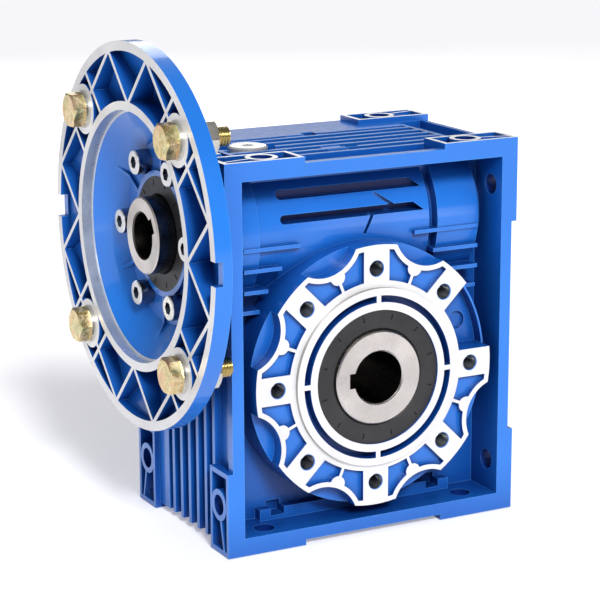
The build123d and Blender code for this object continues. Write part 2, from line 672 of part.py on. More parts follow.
    # tapped holes for the motor flange and for the rear cover
    with BuildSketch(worm_plane(FLANGE_SEAT_X)):
        with PolarLocations(SCREW_PCD_R, SCREW_COUNT):
            Circle(SCREW_R)
    extrude(amount=SCREW_HOLE_DEPTH, mode=Mode.SUBTRACT)
    with BuildSketch(rear_plane(REAR_BOSS_Y)):
        with PolarLocations(REAR_SCREW_R, LOBE_COUNT, start_angle=LOBE_ANGLE / 2):
            Circle(REAR_SCREW_HOLE_R)
    extrude(amount=-REAR_SCREW_HOLE_DEPTH, mode=Mode.SUBTRACT)
    # foot holes and pad pockets of the top and the bottom
    for height, inward, hole_r in ((BODY_TOP, -1, TOP_HOLE_R), (BODY_BOTTOM, 1, FOOT_HOLE_R)):
        with BuildSketch(Plane.XY.offset(height)):
            with GridLocations(2 * FOOT_X, 2 * FOOT_Y, 2, 2):
                Circle(hole_r)
        depth = BODY_TOP - WALL_INNER_TOP + FOOT_HOLE_OVERRUN
        extrude(amount=inward * depth, mode=Mode.SUBTRACT)
        with BuildSketch(Plane.XY.offset(height)):
            for sx, sy in CORNER_SIGNS:
                add(Pos(sx * BODY_HALF_X, sy * BODY_HALF_Y) * pad_pocket(-sx, -sy))
        extrude(amount=inward * PAD_POCKET_DEPTH, mode=Mode.SUBTRACT)
    # foot holes and pad pockets of the two sides, whose pads run along Z
    pad_ends = ((BODY_BOTTOM, 1), (BODY_TOP, -1))
    for side in (-1, 1):
        with BuildSketch(Plane.YZ.offset(side * BODY_HALF_X)):
            for sy in (-1, 1):
                for z, sign in pad_ends:
                    with Locations((sy * FOOT_Y, z + sign * (BODY_HALF_X - FOOT_X))):
                        Circle(FOOT_HOLE_R)
        depth = BODY_HALF_X - WALL_INNER_X + FOOT_HOLE_OVERRUN
        extrude(amount=-side * depth, mode=Mode.SUBTRACT)
        with BuildSketch(Plane.YZ.offset(side * BODY_HALF_X)):
            for sy in (-1, 1):
                for z, sign in pad_ends:
                    add(Pos(sy * BODY_HALF_Y, z) * Rot(0, 0, 90) * pad_pocket(sign, sy))
        extrude(amount=-side * PAD_POCKET_DEPTH, mode=Mode.SUBTRACT)
    # filler plug boss, with the fins cut back round it, and the drain plug's recess
    with BuildSketch(Plane.XY.offset(CHANNEL_TOP)):
        with Locations((PLUG_X, 0)):
            Circle(PLUG_CLEAR_R)
    extrude(amount=RIM_TOP - CHANNEL_TOP, mode=Mode.SUBTRACT)
    with BuildSketch(Plane.XY.offset(CHANNEL_TOP - OVERCUT)):
        with Locations((PLUG_X, 0)):
            Circle(PLUG_BOSS_R)
    extrude(amount=PLUG_SEAT_TOP - CHANNEL_TOP + OVERCUT)
    with BuildSketch(Plane.XY.offset(PLUG_SEAT_BOTTOM)):
        with Locations((PLUG_X, 0)):
            Circle(PLUG_BOSS_R)
    extrude(amount=RIM_BOTTOM - PLUG_SEAT_BOTTOM, mode=Mode.SUBTRACT)
    for seat, inward in ((PLUG_SEAT_TOP, -1), (PLUG_SEAT_BOTTOM, 1)):
        with BuildSketch(Plane.XY.offset(seat)):
            with Locations((PLUG_X, 0)):
                Circle(PLUG_THREAD_R)
        extrude(amount=inward * PLUG_HOLE_DEPTH, mode=Mode.SUBTRACT)
    chamfer(hole_mouths(housing, -1), OUTPUT_HOLE_CHAMFER)
save(housing.part, "housing")

# ------------------------------------------------------------------- rear cover
with BuildPart() as rear_cover:
    with BuildSketch(rear_plane(REAR_BOSS_Y)):
        Circle(REAR_BOSS_R)
    extrude(amount=STAR_BACK_Y - REAR_BOSS_Y)
    with BuildSketch(rear_plane(STAR_BACK_Y)):
        sketch_star(None)
    extrude(amount=STAR_Y - STAR_BACK_Y)
    with BuildSketch(rear_plane(SPIGOT_FRONT_Y)):
        Circle(CAVITY_R - FIT)
        Circle(SPIGOT_INNER_R, mode=Mode.SUBTRACT)
    extrude(amount=REAR_BOSS_Y - SPIGOT_FRONT_Y)
    with BuildSketch(rear_plane(BEARING_BOSS_FRONT_Y)):
        Circle(BEARING_BOSS_R)
    extrude(amount=REAR_BOSS_Y - BEARING_BOSS_FRONT_Y)
    cut_output_face(rear_plane, None)
    bore_output_seat(rear_plane, BEARING_BOSS_FRONT_Y - SEAT_OVERRUN)
    # groove of the sealing ring, round the spigot
    with BuildSketch(rear_plane(ORING_Y - ORING_GROOVE_HALF)):
        Circle(CAVITY_R + OVERCUT)
        Circle(ORING_MAJOR_R - ORING_R - FIT, mode=Mode.SUBTRACT)
    extrude(amount=2 * ORING_GROOVE_HALF, mode=Mode.SUBTRACT)
    with BuildSketch(rear_plane(STAR_BACK_Y)):
        with PolarLocations(REAR_SCREW_R, LOBE_COUNT, start_angle=LOBE_ANGLE / 2):
            Circle(COVER_HOLE_R)
    extrude(amount=-COVER_HOLE_DEPTH, mode=Mode.SUBTRACT)
    chamfer(hole_mouths(rear_cover, 1), OUTPUT_HOLE_CHAMFER)
save(rear_cover.part, "rear_cover")

with BuildPart() as rear_cover_oring:
    with BuildSketch(Plane.XY):
        with Locations((ORING_MAJOR_R, ORING_Y)):
            Circle(ORING_R)
    revolve(axis=Axis.Y)
save(rear_cover_oring.part, "rear_cover_oring")


# --------------------------------------------------------------- fastener tools
def socket_screw(shank_r, length, head_r, head_height, socket_af, socket_depth):
    """Socket head cap screw: head above Z = 0, shank below it."""
    with BuildPart() as screw:
        Cylinder(shank_r, length, align=(Align.CENTER, Align.CENTER, Align.MAX))
        with BuildSketch():
            Circle(head_r)
        extrude(amount=head_height)
        rings = screw.edges().filter_by(GeomType.CIRCLE).sort_by(Axis.Z)
        chamfer(rings[-1], HEAD_CHAMFER * head_r)
        rings = screw.edges().filter_by(GeomType.CIRCLE).sort_by(Axis.Z)
        chamfer(rings[0], SHANK_CHAMFER * shank_r)
        with BuildSketch(Plane.XY.offset(head_height)):
            RegularPolygon(socket_af / 2, 6, major_radius=False)
        extrude(amount=-socket_depth, mode=Mode.SUBTRACT)
    return screw.part


def hex_solid(across_flats, height, bore_r):
    """Hexagon prism from Z = 0 up, its corners turned off at the outer face."""
    outer = across_flats * HEX_CORNER
    with BuildPart() as blank:
        with BuildSketch():
            RegularPolygon(across_flats / 2, 6, major_radius=False)
        extrude(amount=height)
        with BuildSketch(Plane.XZ):
            Polygon(
                (0.0, 0.0),
                (outer, 0.0),
                (outer, height - HEX_CHAMFER * across_flats),
                (across_flats * HEX_FACE, height),
                (0.0, height),
            )
        revolve(axis=Axis.Z, mode=Mode.INTERSECT)
        if bore_r:
            Hole(bore_r)
    return blank.part


def flange_planes(radius, count, x, facing, start=0.0):
    """Planes on a circle round the worm axis, facing +X or -X."""
    planes = []
    for n in range(count):
        y, z = polar(radius, start + n * 360.0 / count)
        origin = (x, y, CENTRE_DISTANCE + z)
        planes.append(Plane(origin=origin, x_dir=(0, 1, 0), z_dir=(facing, 0, 0)))
    return planes


def cover_screw_planes():
    """Planes of the rear cover's screws, facing the rear."""
    planes = []
    for n in range(LOBE_COUNT):
        x, z = polar(REAR_SCREW_R, (n + 0.5) * LOBE_ANGLE)
        planes.append(Plane(origin=(x, STAR_BACK_Y, z), x_dir=(1, 0, 0), z_dir=(0, 1, 0)))
    return planes


spread(socket_screw(*COVER_SCREW), cover_screw_planes(), "rear_cover_screws")

# ----------------------------------------------------------------- motor flange
DISH = [
    (FLANGE_FACE_X + FLANGE_PILOT_DEPTH, FLANGE_PILOT_R),
    (FLANGE_FACE_X + FLANGE_PILOT_DEPTH, FLANGE_PILOT_R - 1.2),
    (-99.5, 56.0),
    (SCREW_SEAT_X, 47.5),
    (SCREW_SEAT_X, COLLAR_OUTER_R + 0.4),
    (INPUT_SEAL_FACE_X, COLLAR_OUTER_R),
    (INPUT_SEAL_FACE_X, INPUT_SEAL_R),
    (SEAL_SEAT_X, INPUT_SEAL_R),
    (SEAL_SEAT_X, SEAL_SEAT_R),
    (FLANGE_SPIGOT_X, SEAL_SEAT_R),
    (FLANGE_SPIGOT_X, INPUT_BEARING_R - FIT),
    (FLANGE_SEAT_X, INPUT_BEARING_R - FIT),
]
BACK = [
    (FLANGE_SEAT_X, FLANGE_FOOT_R),
    (-87.5, 54.0),
    (-95.0, 71.0),
    (-102.0, 94.0),
    (FLANGE_RIM_BACK_X, 97.0),
    (FLANGE_RIM_BACK_X, FLANGE_R),
]
GUSSET_PROFILE = [
    (SCREW_SEAT_X + OVERCUT, COLLAR_OUTER_R - OVERCUT),
    (SCREW_SEAT_X - GUSSET_RISE, COLLAR_OUTER_R - OVERCUT),
    (SCREW_SEAT_X - GUSSET_RISE, 47.0),
    (-99.7, 56.5),
    (-103.5, GUSSET_OUTER_R),
    (SCREW_SEAT_X + OVERCUT, GUSSET_OUTER_R),
]


def lattice_bars():
    """End points of the ribs, as radius and angle pairs."""
    inner_r = PILOT_RING_R - RIB_ROOT
    outer_r = RING_INNER_EDGE_R + RIB_ROOT
    bars = []
    for axis_angle in (0.0, 90.0, 180.0, 270.0):
        for side in (-1, 1):
            node = axis_angle + side * NODE_ANGLE
            bolt = axis_angle + side * BOLT_START
            bars.append(((inner_r, axis_angle), (outer_r, node)))
            bars.append(((outer_r, node), (FLANGE_PCD_R, bolt)))
            inner = bolt - side * math.degrees(math.asin(CROSS_OFFSET / inner_r))
            outer = bolt - side * math.degrees(math.asin(CROSS_OFFSET / outer_r))
            bars.append(((inner_r, inner), (outer_r, outer)))
    return bars


def sketch_bar(start, end, half_width):
    """Straight bar between two polar points."""
    x1, y1 = polar(*start)
    x2, y2 = polar(*end)
    length = math.hypot(x2 - x1, y2 - y1)
    dx = -(y2 - y1) / length * half_width
    dy = (x2 - x1) / length * half_width
    Polygon((x1 + dx, y1 + dy), (x2 + dx, y2 + dy), (x2 - dx, y2 - dy), (x1 - dx, y1 - dy))


def cut_at_bolts(x, radius, depth):
    """Round cuts from a plane across the worm axis, one at each motor bolt."""
    with BuildSketch(worm_plane(x)) as circles:
        with PolarLocations(FLANGE_PCD_R, BOLT_COUNT, start_angle=BOLT_START):
            Circle(radius)
    extrude(circles.sketch, amount=depth, mode=Mode.SUBTRACT)


with BuildPart() as flange_ribs:
    with BuildSketch(worm_plane(FLANGE_FACE_X)):
        for start, end in lattice_bars():
            sketch_bar(start, end, RIB_HALF)
    extrude(amount=RIB_BLANK_DEPTH)
    with BuildSketch(Plane.XZ):
        turned_profile(
            [
                (FLANGE_FACE_X, PILOT_RING_R - 2 * RIB_ROOT),
                (FLANGE_FACE_X, RING_INNER_EDGE_R + 2 * RIB_ROOT),
                (POCKET_FLOOR[0][0] + RIB_ROOT, RING_INNER_EDGE_R + 2 * RIB_ROOT),
                (POCKET_FLOOR[1][0] + 2 * RIB_ROOT, PILOT_RING_R - 2 * RIB_ROOT),
            ]
        )
    revolve(axis=WORM_AXIS, mode=Mode.INTERSECT)

with BuildPart() as dish_gussets:
    with BuildSketch(worm_plane(SCREW_SEAT_X + OVERCUT)):
        with PolarLocations((GUSSET_OUTER_R + COLLAR_OUTER_R) / 2, SCREW_COUNT, start_angle=GUSSET_START):
            Rectangle(GUSSET_OUTER_R - COLLAR_OUTER_R, 2 * GUSSET_HALF)
    extrude(amount=-RIB_BLANK_DEPTH)
    with BuildSketch(Plane.XZ):
        turned_profile(GUSSET_PROFILE)
    revolve(axis=WORM_AXIS, mode=Mode.INTERSECT)

with BuildPart() as motor_flange:
    with BuildSketch(Plane.XZ):
        turned_profile(
            [(FLANGE_FACE_X, FLANGE_R), (FLANGE_FACE_X, RING_INNER_EDGE_R)]
            + POCKET_FLOOR
            + [(FLANGE_FACE_X, PILOT_RING_R), (FLANGE_FACE_X, FLANGE_PILOT_R)]
            + DISH
            + BACK
        )
    revolve(axis=WORM_AXIS)
    add(flange_ribs.part)
    add(dish_gussets.part)
    # bolt bosses, their spot faces at the back, and the bolt holes
    with BuildSketch(worm_plane(FLANGE_FACE_X)):
        with PolarLocations(FLANGE_PCD_R, BOLT_COUNT, start_angle=BOLT_START):
            Circle(BOLT_BOSS_R)
    extrude(amount=FLANGE_BOSS_BACK_X - FLANGE_FACE_X)
    cut_at_bolts(FLANGE_BOSS_BACK_X, SPOT_FACE_R, SPOT_FACE_CLEAR)
    cut_at_bolts(FLANGE_FACE_X, BOLT_HOLE_R, RIB_BLANK_DEPTH)
    # clearance holes of the screws that hold the flange
    with BuildSketch(worm_plane(SCREW_SEAT_X)):
        with PolarLocations(SCREW_PCD_R, SCREW_COUNT):
            Circle(SCREW_R + SCREW_CLEARANCE)
    extrude(amount=FLANGE_SPIGOT_X - SCREW_SEAT_X, mode=Mode.SUBTRACT)
    # groove of the sealing ring in the back face
    with BuildSketch(worm_plane(FLANGE_SEAT_X)):
        Circle(FACE_RING_R + FACE_GROOVE_HALF)
        Circle(FACE_RING_R - FACE_GROOVE_HALF, mode=Mode.SUBTRACT)
    extrude(amount=-2 * FACE_RING_MINOR, mode=Mode.SUBTRACT)
    # two notches at the rim, for levering the motor off
    for side in (-1, 1):
        y_low, y_high = sided(side, NOTCH_INNER_R, FLANGE_R + OVERCUT)
        box_between(
            (FLANGE_FACE_X, y_low, CENTRE_DISTANCE - NOTCH_HALF),
            (FLANGE_FACE_X + NOTCH_DEPTH, y_high, CENTRE_DISTANCE + NOTCH_HALF),
            mode=Mode.SUBTRACT,
        )
save(motor_flange.part, "motor_flange")

with BuildPart() as motor_flange_oring:
    with BuildSketch(Plane.XZ):
        with Locations((FLANGE_SEAT_X - FACE_RING_MINOR, CENTRE_DISTANCE + FACE_RING_R)):
            Circle(FACE_RING_MINOR)
    revolve(axis=WORM_AXIS)
save(motor_flange_oring.part, "motor_flange_oring")

screw_planes = flange_planes(SCREW_PCD_R, SCREW_COUNT, SCREW_SEAT_X, -1)
spread(socket_screw(*FLANGE_SCREW), screw_planes, "motor_flange_screws")

# ------------------------------------------------------------------ motor bolts
with BuildPart() as hex_bolt:
    add(hex_solid(BOLT_AF, BOLT_HEAD, 0.0))
    Cylinder(BOLT_R - FIT, BOLT_LENGTH, align=(Align.CENTER, Align.CENTER, Align.MAX))
    chamfer(hex_bolt.edges().filter_by(GeomType.CIRCLE).sort_by(Axis.Z)[0], BOLT_TIP_CHAMFER)
head_x = FLANGE_FACE_X - WASHER_THICK
spread(hex_bolt.part, flange_planes(FLANGE_PCD_R, BOLT_COUNT, head_x, -1, BOLT_START), "motor_bolts")

with BuildPart() as washer:
    with BuildSketch():
        Circle(WASHER_R)
        Circle(BOLT_R + WASHER_GAP, mode=Mode.SUBTRACT)
    extrude(amount=WASHER_THICK)
washer_planes = flange_planes(FLANGE_PCD_R, BOLT_COUNT, FLANGE_FACE_X, -1, BOLT_START)
spread(washer.part, washer_planes, "motor_bolt_washers")

nut_planes = flange_planes(FLANGE_PCD_R, BOLT_COUNT, FLANGE_BOSS_BACK_X, 1, BOLT_START)
spread(hex_solid(BOLT_AF, NUT_HEIGHT, BOLT_R), nut_planes, "motor_bolt_nuts")

# -------------------------------------------------------------------- oil plugs
filler_plane = Plane(origin=(PLUG_X, 0, PLUG_SEAT_TOP))
drain_plane = Plane(origin=(PLUG_X, 0, PLUG_SEAT_BOTTOM), x_dir=(1, 0, 0), z_dir=(0, 0, -1))
plug = socket_screw(*PLUG)
spread(plug, [filler_plane.offset(PLUG_WASHER)], "oil_filler_plug")
spread(plug, [drain_plane.offset(PLUG_WASHER)], "oil_drain_plug")
with BuildPart() as plug_washer:
    with BuildSketch():
        Circle(PLUG_WASHER_R[1])
        Circle(PLUG_WASHER_R[0], mode=Mode.SUBTRACT)
    extrude(amount=PLUG_WASHER)
spread(plug_washer.part, [filler_plane, drain_plane], "oil_plug_washers")


# ---------------------------------------------------------------- ball bearings
def bearing_ring(inner_r, outer_r, width, pitch_r, ball_r):
    """Bearing ring on local Z with the ball groove in one wall."""
    with BuildPart() as ring:
        with BuildSketch(Plane.XZ):
            with Locations(((inner_r + outer_r) / 2, width / 2)):
                Rectangle(outer_r - inner_r, width)
            chamfer(vertices(), RING_CHAMFER)
            with Locations((pitch_r, width / 2)):
                Circle(ball_r + GROOVE_CLEARANCE, mode=Mode.SUBTRACT)
        revolve(axis=Axis.Z)
    return ring.part


def ball_cage(outer_r, width, pitch_r, ball_r, count):
    """Cage on local Z with one round pocket for each ball."""
    half = CAGE_HALF * ball_r
    with BuildPart() as cage:
        with BuildSketch(Plane.XY.offset(width / 2 - ball_r - CAGE_MARGIN)):
            Circle(pitch_r + half)
            Circle(pitch_r - half, mode=Mode.SUBTRACT)
        extrude(amount=2 * (ball_r + CAGE_MARGIN))
        for n in range(count):
            x, y = polar(1.0, n * 360.0 / count)
            with BuildSketch(Plane(origin=(0, 0, width / 2), z_dir=(x, y, 0))):
                Circle(ball_r + FIT)
            extrude(amount=outer_r, mode=Mode.SUBTRACT)
    return cage.part


def save_bearing(name, planes, bore_r, outer_r, width, ball_r, count, plural):
    """Rings, balls and cage of one deep groove ball bearing, or of a pair."""
    pitch_r = (bore_r + outer_r) / 2
    land = LAND_SHARE * ball_r
    outer_ring = bearing_ring(pitch_r + land, outer_r - FIT, width, pitch_r, ball_r)
    inner_ring = bearing_ring(bore_r + FIT, pitch_r - land, width, pitch_r, ball_r)
    with BuildPart() as balls:
        with BuildSketch(Plane.XY.offset(width / 2)):
            with PolarLocations(pitch_r, count) as ball_places:
                Circle(ball_r)
        with Locations([Pos(0, 0, width / 2) * place for place in ball_places]):
            Sphere(ball_r)
    spread(outer_ring, planes, f"{name}_outer_ring{plural}")
    spread(inner_ring, planes, f"{name}_inner_ring{plural}")
    spread(balls.part, planes, f"{name}_balls")
    spread(ball_cage(outer_r, width, pitch_r, ball_r, count), planes, f"{name}_cage{plural}")


output_planes = [
    Plane(origin=(0, side * HUB_HALF_Y, 0), x_dir=(1, 0, 0), z_dir=(0, side, 0)) for side in (-1, 1)
]
save_bearing(
    "output_bearing", output_planes, OUTPUT_HUB_R, BEARING_R, BEARING_WIDTH, *OUTPUT_BALLS, "s"
)
input_plane = worm_plane(INPUT_BEARING_FACE_X)
save_bearing(
    "input_bearing", [input_plane], INPUT_HUB_R, INPUT_BEARING_R, INPUT_BEARING_WIDTH, *INPUT_BALLS, ""
)
tail_plane = worm_plane(TAIL_BEARING_FACE_X)
save_bearing(
    "tail_bearing", [tail_plane], TAIL_BEARING_INNER_R, TAIL_BEARING_R, TAIL_BEARING_WIDTH, *TAIL_BALLS, ""
)


# -------------------------------------------------------------------- oil seals
SEAL_CASE = 1.5              # thickness of a lip seal's outer wall
SEAL_FACE = 0.375            # its face, as a share of the width
# sealing lip and dust lip: share of the body outside the shaft, share of the width
SEAL_LIPS = [(0.38, 0.375), (0.22, 0.8), (0.0, 0.7), (0.0, 0.55), (0.16, 0.25), (0.0, 0.1), (0.1, 0.0)]


def seal_section(shaft_r, outer_r, width):
    """Half section of a lip seal, as radius and depth behind its face."""
    body = outer_r - shaft_r
    case_r = outer_r - SEAL_CASE
    lips = [(shaft_r + LIP_GAP + out * body, deep * width) for out, deep in SEAL_LIPS]
    case = [(outer_r - FIT, 0.0), (outer_r - FIT, width), (case_r, width), (case_r, SEAL_FACE * width)]
    return case + lips


def cut_seal_marks(plane, radius):
    """Small radial marks sunk in a seal's outer face."""
    with BuildSketch(plane) as marks:
        with PolarLocations(radius, SEAL_MARKS, start_angle=180.0 / SEAL_MARKS):
            Rectangle(*SEAL_MARK)
    extrude(marks.sketch, amount=-SEAL_MARK_DEPTH, mode=Mode.SUBTRACT)


output_section = seal_section(OUTPUT_HUB_R, SEAL_R, SEAL_WIDTH)
mark_r = (OUTPUT_HUB_R + 2 * SEAL_R) / 3
for side, plane_at, label in (
    (-1, front_plane, "output_seal_front"),
    (1, rear_plane, "output_seal_rear"),
):
    with BuildPart() as output_seal:
        with BuildSketch(Plane.XY):
            Polygon([(radius, side * (SEAL_FACE_Y - depth)) for radius, depth in output_section])
        revolve(axis=Axis.Y)
        cut_seal_marks(plane_at(SEAL_FACE_Y), mark_r)
    save(output_seal.part, label)

with BuildPart() as input_seal:
    with BuildSketch(Plane.XZ):
        section = seal_section(INPUT_HUB_R, INPUT_SEAL_R, SEAL_SEAT_X - INPUT_SEAL_FACE_X)
        turned_profile([(INPUT_SEAL_FACE_X + depth, radius) for radius, depth in section])
    revolve(axis=WORM_AXIS)
    seal_face = Plane(origin=(INPUT_SEAL_FACE_X, 0, CENTRE_DISTANCE), x_dir=(0, 1, 0), z_dir=(-1, 0, 0))
    cut_seal_marks(seal_face, (INPUT_HUB_R + 2 * INPUT_SEAL_R) / 3)
save(input_seal.part, "input_seal")

# ------------------------------------------------------- output shaft and wheel
with BuildPart() as output_shaft:
    with BuildSketch(Plane.XY):
        half = [
            (OUTPUT_HUB_R, OUTPUT_HALF_LENGTH),
            (OUTPUT_HUB_R, HUB_HALF_Y),
            (HUB_SHOULDER_R, HUB_HALF_Y),
            (HUB_FLARE_R, DISC_HALF_Y),
            (RIM_INNER_R, DISC_HALF_Y),
        ]
        mirrored = [(radius, -y) for radius, y in reversed(half)]
        bore = [(OUTPUT_BORE_R, -OUTPUT_HALF_LENGTH), (OUTPUT_BORE_R, OUTPUT_HALF_LENGTH)]
        Polygon(half + mirrored + bore)
    revolve(axis=Axis.Y)
    end_edges = output_shaft.edges().filter_by(GeomType.CIRCLE).group_by(Axis.Y)
    chamfer(end_edges[0] + end_edges[-1], HUB_CHAMFER)
    box_between(
        (-(OUTPUT_BORE_R + KEY_DEPTH), -OUTPUT_HALF_LENGTH, -KEY_WIDTH / 2),
        (0.0, OUTPUT_HALF_LENGTH, KEY_WIDTH / 2),
        mode=Mode.SUBTRACT,
    )
save(output_shaft.part, "output_shaft")


def tooth_outline(turn):
    """Wheel outline with straight-sided tooth gaps, turned by some degrees."""
    gap_half = AXIAL_PITCH / 4 + BACKLASH
    flank = ((WHEEL_TIP_R, -1), (WHEEL_ROOT_R, -1), (WHEEL_ROOT_R, 1), (WHEEL_TIP_R, 1))
    points = []
    for n in range(WHEEL_TEETH):
        middle = 90.0 + turn + n * 360.0 / WHEEL_TEETH
        for radius, side in flank:
            half_gap = gap_half + (radius - WHEEL_PITCH_R) * FLANK_SLOPE
            points.append(polar(radius, middle + side * math.degrees(half_gap / radius)))
    return points


with BuildPart() as worm_wheel:
    for y in (-RIM_HALF_Y, RIM_HALF_Y):
        with BuildSketch(front_plane(-y)):
            Polygon(tooth_outline(-TWIST_PER_MM * y))
    loft(ruled=True)
    with BuildSketch(front_plane(RIM_HALF_Y)):
        Circle(RIM_INNER_R + FIT)
    extrude(amount=-2 * RIM_HALF_Y, mode=Mode.SUBTRACT)
save(worm_wheel.part, "worm_wheel")

# ------------------------------------------------------------------- worm shaft
with BuildPart() as worm_core:
    with BuildSketch(Plane.XZ):
        turned_profile(
            [
                (INPUT_HUB_FACE_X, INPUT_BORE_R),
                (INPUT_HUB_FACE_X, INPUT_HUB_R),
                (COLLAR_FROM_X, INPUT_HUB_R),
                (COLLAR_FROM_X, COLLAR_R),
            ]
            + WORM_PROFILE
            + WORM_TAIL
            + [
                (TAIL_BEARING_FACE_X, WORM_NECK_R),
                (TAIL_BEARING_FACE_X, TAIL_BEARING_INNER_R),
                (TAIL_JOURNAL_END_X, TAIL_BEARING_INNER_R),
                (TAIL_JOURNAL_END_X, 0.0),
                (INPUT_HUB_FACE_X + INPUT_BORE_DEPTH, 0.0),
                (INPUT_HUB_FACE_X + INPUT_BORE_DEPTH, INPUT_BORE_R),
            ]
        )
    revolve(axis=WORM_AXIS)
    chamfer(worm_core.edges().filter_by(GeomType.CIRCLE).group_by(Axis.X)[0], HUB_CHAMFER)
    with BuildSketch(worm_plane(INPUT_HUB_FACE_X)):
        with Locations(polar((INPUT_BORE_R + KEY_DEPTH) / 2, INPUT_KEY_ANGLE)):
            Rectangle(INPUT_BORE_R + KEY_DEPTH, KEY_WIDTH, rotation=INPUT_KEY_ANGLE)
    extrude(amount=INPUT_KEY_LENGTH, mode=Mode.SUBTRACT)

# right-hand thread: one helical tooth, its middle under the worm axis at X = 0
thread_path = Helix(AXIAL_PITCH, THREAD_TURNS * AXIAL_PITCH, WORM_PITCH_R)
half_at_pitch = AXIAL_PITCH / 4 - BACKLASH
tip_half = half_at_pitch - MODULE * FLANK_SLOPE
root_half = half_at_pitch + (WORM_PITCH_R - WORM_ROOT_R) * FLANK_SLOPE
thread_section = Plane.XZ * Polygon(
    (WORM_ROOT_R, -root_half), (WORM_TIP_R, -tip_half), (WORM_TIP_R, tip_half), (WORM_ROOT_R, root_half)
)
thread = sweep(thread_section, path=thread_path, is_frenet=True)
thread_start = (-THREAD_TURNS * AXIAL_PITCH / 2, 0, CENTRE_DISTANCE)
thread_plane = Plane(origin=thread_start, x_dir=(0, 0, -1), z_dir=(1, 0, 0))
with BuildPart() as worm_shaft:
    add(worm_core.part)
    add(thread_plane.location * thread)
save(worm_shaft.part, "worm_shaft")

# --------------------------------------------------- end cap and retaining ring
with BuildPart() as worm_end_cap:
    with BuildSketch(worm_plane(RIM_HALF_X)):
        Circle(TAIL_BEARING_R - FIT)
    extrude(amount=-CAP_THICK)
    with BuildSketch(worm_plane(RIM_HALF_X)):
        Circle(CAP_DISH_R)
    extrude(amount=-CAP_DISH_DEPTH, mode=Mode.SUBTRACT)
save(worm_end_cap.part, "worm_end_cap")

lug_place, lug_spacing, lug_r, eye_r = RETAINING_LUG
with BuildPart() as tail_retaining_ring:
    with BuildSketch(worm_plane(RETAINING_FACE_X + 2 * FIT)):
        Circle(RETAINING_RING[1])
        Circle(RETAINING_RING[0], mode=Mode.SUBTRACT)
        with Locations((TAIL_BEARING_R, 0)):
            Rectangle(*RETAINING_RING_GAP, mode=Mode.SUBTRACT)
        with Locations((lug_place, lug_spacing), (lug_place, -lug_spacing)):
            Circle(lug_r)
            Circle(eye_r, mode=Mode.SUBTRACT)
    extrude(amount=RETAINING_RING_THICK)
save(tail_retaining_ring.part, "tail_retaining_ring")
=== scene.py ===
import math

import bmesh
import bpy
from mathutils import Matrix, Vector


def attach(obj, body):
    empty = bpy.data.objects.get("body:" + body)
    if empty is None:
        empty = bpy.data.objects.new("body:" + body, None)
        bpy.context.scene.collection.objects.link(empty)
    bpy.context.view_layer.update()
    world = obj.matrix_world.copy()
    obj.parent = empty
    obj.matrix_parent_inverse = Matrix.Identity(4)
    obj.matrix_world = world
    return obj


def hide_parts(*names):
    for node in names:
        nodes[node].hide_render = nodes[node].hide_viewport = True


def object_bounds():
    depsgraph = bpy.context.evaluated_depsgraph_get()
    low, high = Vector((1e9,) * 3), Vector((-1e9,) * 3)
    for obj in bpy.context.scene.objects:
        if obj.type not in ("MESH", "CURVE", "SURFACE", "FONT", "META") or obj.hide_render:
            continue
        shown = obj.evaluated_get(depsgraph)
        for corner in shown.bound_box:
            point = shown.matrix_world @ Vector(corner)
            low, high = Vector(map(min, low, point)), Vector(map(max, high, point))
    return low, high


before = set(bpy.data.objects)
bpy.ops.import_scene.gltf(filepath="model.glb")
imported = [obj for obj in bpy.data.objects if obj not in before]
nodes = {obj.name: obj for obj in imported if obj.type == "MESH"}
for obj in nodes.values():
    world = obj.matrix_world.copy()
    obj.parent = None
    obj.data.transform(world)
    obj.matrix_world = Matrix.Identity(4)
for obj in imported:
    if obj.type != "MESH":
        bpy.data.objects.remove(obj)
cad_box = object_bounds()

MM = 0.001

# sizes of the CAD model, mm
CENTRE_DISTANCE = 75.0  # output axis to worm axis
BOLT_CIRCLE_R = 82.5  # motor bolts
HOLE_CIRCLE_R = 57.5  # tapped holes of an output face
STAR_FACE_Y = 57.0  # face of the eight lobes
RING_FACE_Y = 59.5  # face of the centring ring
RING_R = 47.5  # its outer wall
MOTOR_FACE_X = -112.5
PILOT_FLOOR_X = -106.5
NUT_FACE_X = -101.5  # back of the motor flange round its bolts
FLANGE_SEAT_X = -84.0  # where the motor flange sits on the housing
TOP_PAD_Z = 119.0
TAPPED_R = 4.0
TAPPED_FLOOR_Y = 43.0
FOOT_HOLE_Y = 45.0
FOOT_HOLE_X = 60.0  # upright foot holes
FOOT_HOLE_Z = (93.0, -60.0)  # foot holes of the two ends
FOOT_HOLE_WALL_R = 5.9  # just outside their walls
SLOT_FLOOR_Y = -32.0
NEAR = 0.1  # how far a face's middle may lie off its plane

# sizes used by the materials, m
CAST_EDGE = 0.0007
METAL_EDGE = 0.0004
RING_PITCH = 0.0006


